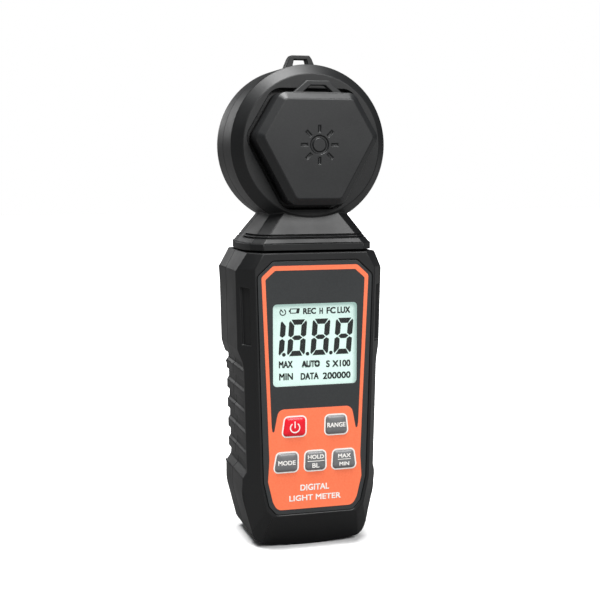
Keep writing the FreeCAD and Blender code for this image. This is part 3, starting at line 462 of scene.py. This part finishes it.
def standing(mesh, front, thickness):
    """Turns a mesh drawn flat in millimetres upright, with its front at a level along Y."""
    upright = Matrix.Rotation(math.radians(90), 4, "X")
    place = Matrix.Translation((0, front + thickness / 2, 0))
    mesh.transform(Matrix.Scale(MM, 4) @ place @ upright)
    return mesh


def flat_layer(name, loops, front, thickness):
    """Thin solid between closed outlines in x and z (mm); inner outlines are holes."""
    drawing = bpy.data.curves.new(name, "CURVE")
    drawing.dimensions = "2D"
    drawing.fill_mode = "BOTH"
    drawing.extrude = thickness / 2
    for loop in loops:
        line = drawing.splines.new("POLY")
        line.points.add(len(loop) - 1)
        for point, (x, z) in zip(line.points, loop):
            point.co = (x, z, 0, 1)
        line.use_cyclic_u = True
    holder = bpy.data.objects.new(name, drawing)
    mesh = bpy.data.meshes.new_from_object(holder)
    bpy.data.objects.remove(holder)
    return standing(mesh, front, thickness)


COPY_STEP = 0.005
DRAWN_SIZE = 4.0


def word_layer(name, text, x_span, z_span, front, thickness, weight):
    """A word whose letters fill a box of the face; four copies, weight (mm) apart, thicken them.

    Each copy stands a hair in front of the last, so no two faces lie in one plane.
    """
    drawing = bpy.data.curves.new(name, "FONT")
    drawing.body = text
    drawing.size = DRAWN_SIZE
    drawing.resolution_u = 3
    drawing.extrude = thickness / 2
    holder = bpy.data.objects.new(name, drawing)
    mesh = bpy.data.meshes.new_from_object(holder)
    bpy.data.objects.remove(holder)
    xs = [v.co.x for v in mesh.vertices]
    ys = [v.co.y for v in mesh.vertices]
    stretch = Matrix.Diagonal(((x_span[1] - x_span[0] - weight) / (max(xs) - min(xs)),
                               (z_span[1] - z_span[0] - weight) / (max(ys) - min(ys)), 1, 1))
    mesh.transform(stretch @ Matrix.Translation((-min(xs), -min(ys), 0)))
    copies = []
    for layer, (right, up) in enumerate(((0, 0), (weight, 0), (0, weight), (weight, weight))):
        copy = mesh.copy()
        copy.transform(Matrix.Translation((x_span[0] + right, z_span[0] + up, layer * COPY_STEP)))
        copies.append(copy)
    return standing(joined(copies), front, thickness)


def joined(meshes):
    """One mesh from several."""
    whole = bmesh.new()
    for mesh in meshes:
        whole.from_mesh(mesh)
    made = bpy.data.meshes.new("joined")
    whole.to_mesh(made)
    whole.free()
    return made


# %% Key outlines, clockwise from the top right corner
KEY_OUTLINES = {
    "power_key": [(-3.5, 54.7), (-3.55, 46.1), (-13.95, 46.1), (-12.7, 54.7)],
    "range_key": [(12.8, 54.6), (13.8, 46.0), (3.5, 46.0), (3.75, 54.6)],
    "mode_key": [(-6.7, 40.6), (-6.75, 32.1), (-17.4, 32.1), (-15.9, 40.6)],
    "hold_key": [(4.45, 40.65), (4.75, 32.0), (-4.85, 32.0), (-4.5, 40.65)],
    "max_min_key": [(16.1, 40.5), (17.3, 32.0), (6.35, 32.0), (6.9, 40.5)],
}
KEY_CORNER, TIGHTEST_CORNER = 2.0, 0.35
CORNER_STEPS = 5
OUTLINE_WIDTH = 0.55
PANEL_OVERLAP = 0.35


def key_loop(key, grow=0.0):
    """Rounded outline of one key, grown or shrunk."""
    corner = max(KEY_CORNER + grow, TIGHTEST_CORNER)
    return rounded(offset(KEY_OUTLINES[key], grow), corner, CORNER_STEPS)


FILM_FRONT = front_and_back("face_overlay")[0]
INK = 0.05
WHITE_FRONT = FILM_FRONT - 2 * INK
print("film's front is at y =", round(FILM_FRONT, 2))

# %% Orange frame and key panel
FRAME_OUTER = mirrored([(16.9, 113.3), (21.5, 109.1), (19.4, 60.0), (18.6, 37.5), (19.15, 29.0),
                        (17.2, 20.6), (15.4, 17.3)])
DARK_CENTRE = mirrored([(16.1, 111.5), (19.95, 108.1), (17.95, 58.0), (17.65, 50.6), (16.95, 46.8),
                        (16.25, 50.6), (15.6, 53.9), (14.8, 57.45)])
# The orange ends under the keys' white outlines, so no gap shows between the two inks
outer_radii = [1.6, 1.6, 6.0, 8.0, 1.5, 6.0, 3.0]
centre_radii = [1.2, 1.2, 8.0, 1.0, 0.4, 1.2, 3.0, 2.8]
orange = flat_layer("orange", [rounded(FRAME_OUTER, outer_radii + outer_radii[::-1]),
                               rounded(DARK_CENTRE, centre_radii + centre_radii[::-1])]
                    + [key_loop(key, -PANEL_OVERLAP) for key in KEY_OUTLINES], FILM_FRONT - INK, INK)
add_piece("orange_panel_print", orange, FINISHES["orange_ink"], "case")

# %% White outlines and words on the film
TITLE_WEIGHT = 0.14
rings = [flat_layer("ring", [key_loop(key), key_loop(key, -OUTLINE_WIDTH)], WHITE_FRONT, INK)
         for key in KEY_OUTLINES]
add_piece("key_outlines_print", joined(rings), FINISHES["white_ink"], "case")
titles = [word_layer("title", text, x_span, z_span, WHITE_FRONT, INK, TITLE_WEIGHT)
          for text, x_span, z_span in (("DIGITAL", (-6.1, 5.7), (24.5, 27.0)),
                                       ("LIGHT METER", (-10.6, 10.5), (20.5, 22.8)))]
add_piece("title_print", joined(titles), FINISHES["white_ink"], "case")

# %% [markdown]
# ## Keys
# Each key is a cap with softly slanted sides and a domed top. Rings of the same outline, each
# further in and higher, are bridged into one closed skin, which gives an even crown.

# %% A skin over rings of equal outlines


def ring_skin(rings):
    """Closed mesh through rings of points (x, y, z in mm), from the back to the front."""
    shape = bmesh.new()
    rows = [[shape.verts.new(Vector(point) * MM) for point in ring] for ring in rings]
    for lower, upper in zip(rows, rows[1:]):
        for index in range(len(lower)):
            following = (index + 1) % len(lower)
            shape.faces.new((lower[index], lower[following], upper[following], upper[index]))
    shape.faces.new(rows[-1])
    shape.faces.new(list(reversed(rows[0])))
    bmesh.ops.recalc_face_normals(shape, faces=shape.faces)
    for face in shape.faces:
        face.smooth = True
    mesh = bpy.data.meshes.new("skin")
    shape.to_mesh(mesh)
    shape.free()
    return mesh


KEY_FRONT = front_and_back("hold_key")[0]
OUTLINE_OVERLAP = 0.02
# Each ring's distance inside the key's wall, and behind its front
CROWN = [(0.0, 2.2), (0.0, 1.0), (0.1, 0.68), (0.35, 0.42), (0.8, 0.24), (1.4, 0.11), (2.1, 0.03),
         (2.8, 0.0)]
for key in KEY_OUTLINES:
    key_rings = []
    for inset, drop in CROWN:
        outline = key_loop(key, -OUTLINE_WIDTH + OUTLINE_OVERLAP - inset)
        key_rings.append([(x, KEY_FRONT + drop, z) for x, z in outline])
    slot = "red_key" if key == "power_key" else "grey_key"
    add_piece(key + "_cap", ring_skin(key_rings), FINISHES[slot], key, [key])
print("key fronts are at y =", round(KEY_FRONT, 2))

# %% Words on the keys
KEY_INK = KEY_FRONT - 0.02
KEY_INK_DEPTH = 0.3
KEY_WORD_WEIGHT = 0.12
BAR_FOOT, BAR_TOP, BAR_MARGIN = 36.2, 36.45, 0.1
KEY_WORDS = {
    "range_key": [("RANGE", (4.6, 12.1), (49.4, 51.25))],
    "mode_key": [("MODE", (-15.3, -8.3), (35.4, 37.2))],
    "hold_key": [("HOLD", (-3.3, 3.3), (37.2, 38.8)), ("BL", (-1.5, 1.4), (33.65, 35.5))],
    "max_min_key": [("MAX", (9.1, 14.3), (36.95, 38.5)), ("MIN", (9.65, 13.7), (33.75, 35.25))],
}
for key, words in KEY_WORDS.items():
    layers = [word_layer("word", text, x_span, z_span, KEY_INK, KEY_INK_DEPTH, KEY_WORD_WEIGHT)
              for text, x_span, z_span in words]
    if len(words) == 2:
        left, right = words[0][1][0] - BAR_MARGIN, words[0][1][1] + BAR_MARGIN
        bar = [(right, BAR_TOP), (right, BAR_FOOT), (left, BAR_FOOT), (left, BAR_TOP)]
        layers.append(flat_layer("bar", [bar], KEY_INK, KEY_INK_DEPTH))
    add_piece(key + "_word", joined(layers), FINISHES["white_ink"], key)

# %% Power symbol


def arc_band(centre, inner, outer, start, end):
    """Outline of part of a ring, between two angles in degrees."""
    count = 28
    angles = [math.radians(start + (end - start) * i / count) for i in range(count + 1)]
    out = [(centre[0] + outer * math.cos(a), centre[1] + outer * math.sin(a)) for a in angles]
    back = [(centre[0] + inner * math.cos(a), centre[1] + inner * math.sin(a)) for a in reversed(angles)]
    return out + back


POWER_CENTRE = (-8.5, 50.1)
STROKE_HALF, STROKE_FOOT, STROKE_TOP = 0.22, 50.0, 52.6
left, right = POWER_CENTRE[0] - STROKE_HALF, POWER_CENTRE[0] + STROKE_HALF
stroke = [(right, STROKE_TOP), (right, STROKE_FOOT), (left, STROKE_FOOT), (left, STROKE_TOP)]
symbol = [flat_layer("arc", [arc_band(POWER_CENTRE, 1.65, 2.1, 125, 415)], KEY_INK, KEY_INK_DEPTH),
          flat_layer("stroke", [stroke], KEY_INK, KEY_INK_DEPTH)]
add_piece("power_key_symbol", joined(symbol), FINISHES["white_ink"], "power_key")

# %% [markdown]
# ## Display
# A liquid crystal display shows dark segments in front of a pale ground, whose glow is painted light.
# All segments are on, as in the moment after switching on. The three full digits are one digit
# repeated along a row, so Geometry Nodes repeat it: a mesh line carries the copies, and they are
# realised into one mesh.

# %% A Geometry Nodes tree that repeats a mesh along a row


def new_tree(name, **inputs):
    """Empty tree that takes a mesh and the named inputs, each with its kind of socket."""
    made = bpy.data.node_groups.new(name, "GeometryNodeTree")
    for label, kind in {"Geometry": "Geometry", **inputs}.items():
        made.interface.new_socket(label, in_out="INPUT", socket_type="NodeSocket" + kind)
    made.interface.new_socket("Geometry", in_out="OUTPUT", socket_type="NodeSocketGeometry")
    return made


def end_tree(made, copies, material):
    """Last nodes of a tree: its copies become one real mesh with one material."""
    real = add_node(made, "GeometryNodeRealizeInstances", links={0: copies.outputs[0]})
    coated = add_node(made, "GeometryNodeSetMaterial", {"Material": material},
                      {"Geometry": real.outputs[0]})
    add_node(made, "NodeGroupOutput", links={0: coated.outputs[0]})
    return made


def row_tree(material):
    """Tree with a count and a pitch (m), whose result is one mesh with one material."""
    made = new_tree("repeat_in_row", Count="Int", Pitch="Float")
    source = add_node(made, "NodeGroupInput")
    step = add_node(made, "ShaderNodeCombineXYZ", links={"X": source.outputs["Pitch"]})
    line = add_node(made, "GeometryNodeMeshLine",
                    links={"Count": source.outputs["Count"], "Offset": step.outputs[0]})
    copies = add_node(made, "GeometryNodeInstanceOnPoints",
                      links={"Points": line.outputs[0], "Instance": source.outputs["Geometry"]})
    return end_tree(made, copies, material)


def with_tree(mesh, tree_made, **inputs):
    """Plain mesh that a tree makes of another mesh, with its named inputs set."""
    holder = bpy.data.objects.new("tree_holder", mesh)
    scene.collection.objects.link(holder)
    modifier = holder.modifiers.new("tree", "NODES")
    modifier.node_group = tree_made
    for item in tree_made.interface.items_tree:
        if item.in_out == "INPUT" and item.name in inputs:
            modifier[item.identifier] = inputs[item.name]
    evaluated = holder.evaluated_get(bpy.context.evaluated_depsgraph_get())
    made = bpy.data.meshes.new_from_object(evaluated)
    bpy.data.objects.remove(holder)
    return made


# %% Segments of one digit
DIGIT_WIDTH, DIGIT_HEIGHT, STROKE, HALF_GAP = 7.2, 14.3, 2.3, 0.12
SLANT = 0.075
DIGIT_MIDDLE = 85.3
# The glass lies behind the window, so what is drawn at the window's places is moved this much
# to be seen there from the camera
DISPLAY_SHIFT = Matrix.Translation((0.66 * MM, 0, -0.3 * MM))


def segments(names):
    """Outlines (mm) of the named segments of a seven-segment digit, about its middle.

    Their ends are cut at a slant, which leaves a gap between neighbours.
    """
    w, h, t, g = DIGIT_WIDTH / 2, DIGIT_HEIGHT / 2, STROKE, HALF_GAP
    outlines = {
        "a": [(-w + 0.9, h), (w - 0.9, h), (w - t + 0.2, h - t + 0.25), (-w + t - 0.2, h - t + 0.25)],
        "g": [(-w + 1.5, 0), (-w + t + 0.3, 0.9), (w - t - 0.3, 0.9), (w - 1.5, 0),
              (w - t - 0.3, -0.9), (-w + t + 0.3, -0.9)],
        "f": [(-w + 0.45, h - 0.45), (-w + t - g, h - t - g), (-w + t - g, 1.1), (-w + 1.1, g + 0.12),
              (-w, 0.9), (-w, h - 1.1)],
    }
    outlines["d"] = [(x, -z) for x, z in outlines["a"]]
    outlines["b"] = [(-x, z) for x, z in outlines["f"]]
    outlines["e"] = [(x, -z) for x, z in outlines["f"]]
    outlines["c"] = [(-x, -z) for x, z in outlines["f"]]
    return [outlines[name] for name in names]


def slanted(outline, middle_x):
    """An outline moved to its digit's place and leant over."""
    return [(middle_x + x + SLANT * z, DIGIT_MIDDLE + z) for x, z in outline]


# %% Digits, points and the leading one
SEGMENT_FRONT = front_and_back("lcd_glass")[0] - 0.06
SEGMENT_DEPTH = 0.04
DIGITS, DIGIT_PITCH, POINT_PITCH = 3, 9.45, 9.53
FIRST_DIGIT, LEADING_ONE = -7.45, -10.85
FIRST_POINT, POINT_RADIUS = (-12.75, 78.85), 0.75


def sign(*loops):
    """Thin black layer on the glass, between closed outlines."""
    return flat_layer("sign", loops, SEGMENT_FRONT, SEGMENT_DEPTH)


in_row = row_tree(segment_ink)
first_digit = joined([sign(slanted(outline, FIRST_DIGIT)) for outline in segments("abcdefg")])
first_point = sign(circle(FIRST_POINT, POINT_RADIUS, 24))
one = [sign(slanted(outline, LEADING_ONE)) for outline in segments("ef")]
figures = [with_tree(first_digit, in_row, Count=DIGITS, Pitch=DIGIT_PITCH * MM),
           with_tree(first_point, in_row, Count=DIGITS, Pitch=POINT_PITCH * MM)] + one
digits = joined(figures)
digits.transform(DISPLAY_SHIFT)
add_piece("display_digits", digits, segment_ink, "case")

# %% Words and signs round the digits
DISPLAY_WORDS = [
    ("REC", (-5.0, 0.2), (94.4, 96.8)), ("H", (1.6, 3.0), (94.3, 96.7)),
    ("FC", (4.5, 8.2), (94.3, 96.85)), ("LUX", (8.9, 14.2), (94.3, 96.85)),
    ("MAX", (-14.8, -9.2), (73.6, 76.35)), ("AUTO", (-5.6, 1.85), (73.4, 76.15)),
    ("S", (4.35, 5.9), (73.1, 75.85)), ("X100", (6.9, 14.4), (73.1, 75.8)),
    ("MIN", (-14.7, -9.1), (68.8, 71.5)), ("DATA", (-6.0, 1.35), (68.6, 71.3)),
    ("200000", (3.0, 14.5), (68.4, 71.1)),
]
SIGN_WEIGHT, BOLD_WEIGHT = 0.22, 0.4
words = [word_layer("word", text, x_span, z_span, SEGMENT_FRONT, SEGMENT_DEPTH,
                    BOLD_WEIGHT if text == "AUTO" else SIGN_WEIGHT)
         for text, x_span, z_span in DISPLAY_WORDS]
clock = [sign(arc_band((-13.15, 95.4), 0.95, 1.35, 115, 425)),
         sign([(-14.15, 96.5), (-13.85, 96.75), (-12.85, 95.5), (-13.15, 95.2)])]
battery_outer = rounded([(-6.3, 96.8), (-6.7, 94.8), (-10.3, 94.8), (-10.3, 96.8)], 0.2, 3)
battery_inner = rounded([(-7.5, 96.45), (-7.85, 95.15), (-9.95, 95.15), (-9.95, 96.45)], 0.15, 3)
terminal = [(-10.3, 96.2), (-10.3, 95.4), (-10.75, 95.4), (-10.75, 96.2)]
battery = [sign(battery_outer, battery_inner), sign(terminal)]
signs = joined(words + clock + battery)
signs.transform(DISPLAY_SHIFT)
add_piece("display_words", signs, segment_ink, "case")

# %% [markdown]
# ## Screws
# The case and the head are each held by four pan-head screws, sunk in wells at the back. One
# screw is drawn, and Geometry Nodes set it on the points of a small mesh, one point a screw.

# %% One screw with its cross recess, facing the back
PAN_RADIUS, PAN_HEIGHT = 2.0, 1.5
SHANK_RADIUS, SHANK_LENGTH = 0.9, 11.0
CROSS_HALF, CROSS_DEPTH = 0.26, 0.75
CUTTER_EXCESS = 1.0


def screw_mesh():
    """Pan head, cross recess and shank along Y, with its seat at the origin."""
    turns = 24
    profile = [(SHANK_RADIUS, -SHANK_LENGTH), (SHANK_RADIUS, 0.0), (PAN_RADIUS, 0.0),
               (PAN_RADIUS, PAN_HEIGHT * 0.55), (PAN_RADIUS * 0.86, PAN_HEIGHT * 0.85),
               (PAN_RADIUS * 0.6, PAN_HEIGHT)]
    rings = [[(radius * math.cos(math.tau * i / turns), level, radius * math.sin(math.tau * i / turns))
              for i in range(turns)] for radius, level in profile]
    arm, half = PAN_RADIUS * 0.6, CROSS_HALF
    cross = [(arm, half), (half, half), (half, arm), (-half, arm), (-half, half), (-arm, half),
             (-arm, -half), (-half, -half), (-half, -arm), (half, -arm), (half, -half), (arm, -half)]
    body = bpy.data.objects.new("screw_blank", ring_skin(rings))
    slot_rings = [[(x, level, z) for x, z in cross]
                  for level in (PAN_HEIGHT - CROSS_DEPTH, PAN_HEIGHT + CUTTER_EXCESS)]
    slots = bpy.data.objects.new("screw_cross", ring_skin(slot_rings))
    for item in (body, slots):
        scene.collection.objects.link(item)
    driven = body.modifiers.new("cross_recess", "BOOLEAN")
    driven.operation = "DIFFERENCE"
    driven.object = slots
    made = bpy.data.meshes.new_from_object(body.evaluated_get(bpy.context.evaluated_depsgraph_get()))
    for item in (body, slots):
        bpy.data.objects.remove(item)
    for face in made.polygons:
        face.use_smooth = False
    return made


# %% A tree that sets one mesh on every point of another


def fixing_tree(material):
    """Tree with the object to set, whose points are those of the modified mesh."""
    made = new_tree("set_on_points", Fixing="Object")
    source = add_node(made, "NodeGroupInput")
    fixing = add_node(made, "GeometryNodeObjectInfo", links={"Object": source.outputs["Fixing"]})
    copies = add_node(made, "GeometryNodeInstanceOnPoints",
                      links={"Points": source.outputs["Geometry"],
                             "Instance": fixing.outputs["Geometry"]})
    return end_tree(made, copies, material)


on_points = fixing_tree(FINISHES["screw_steel"])


def set_screws(node, name, body, spots):
    """Screws of one CAD node, each with its head's top where the node ends at the back."""
    seat = front_and_back(node)[1] - PAN_HEIGHT
    pattern = bpy.data.meshes.new("screw_spots")
    pattern.from_pydata([Vector((x, seat, z)) * MM for x, z in spots], [], [])
    template = bpy.data.objects.new("screw_template", screw_mesh())
    scene.collection.objects.link(template)
    made = with_tree(pattern, on_points, Fixing=template)
    bpy.data.objects.remove(template)
    add_piece(name, made, FINISHES["screw_steel"], body, [node])
    print(name, len(spots), "screws")


# %% Screws of the case and the head
HEAD_MIDDLE, SCREW_REACH = 159.2, 17.3
CASE_SPOTS = [(-19.2, 107.4), (19.2, 107.4), (-15.0, 7.4), (15.0, 7.4)]
HEAD_SPOTS = [(x * SCREW_REACH, HEAD_MIDDLE + z * SCREW_REACH) for x in (-1, 1) for z in (-1, 1)]
set_screws("case_screws", "case_screw_set", "case", CASE_SPOTS)
set_screws("head_screws", "head_screw_set", "head", HEAD_SPOTS)
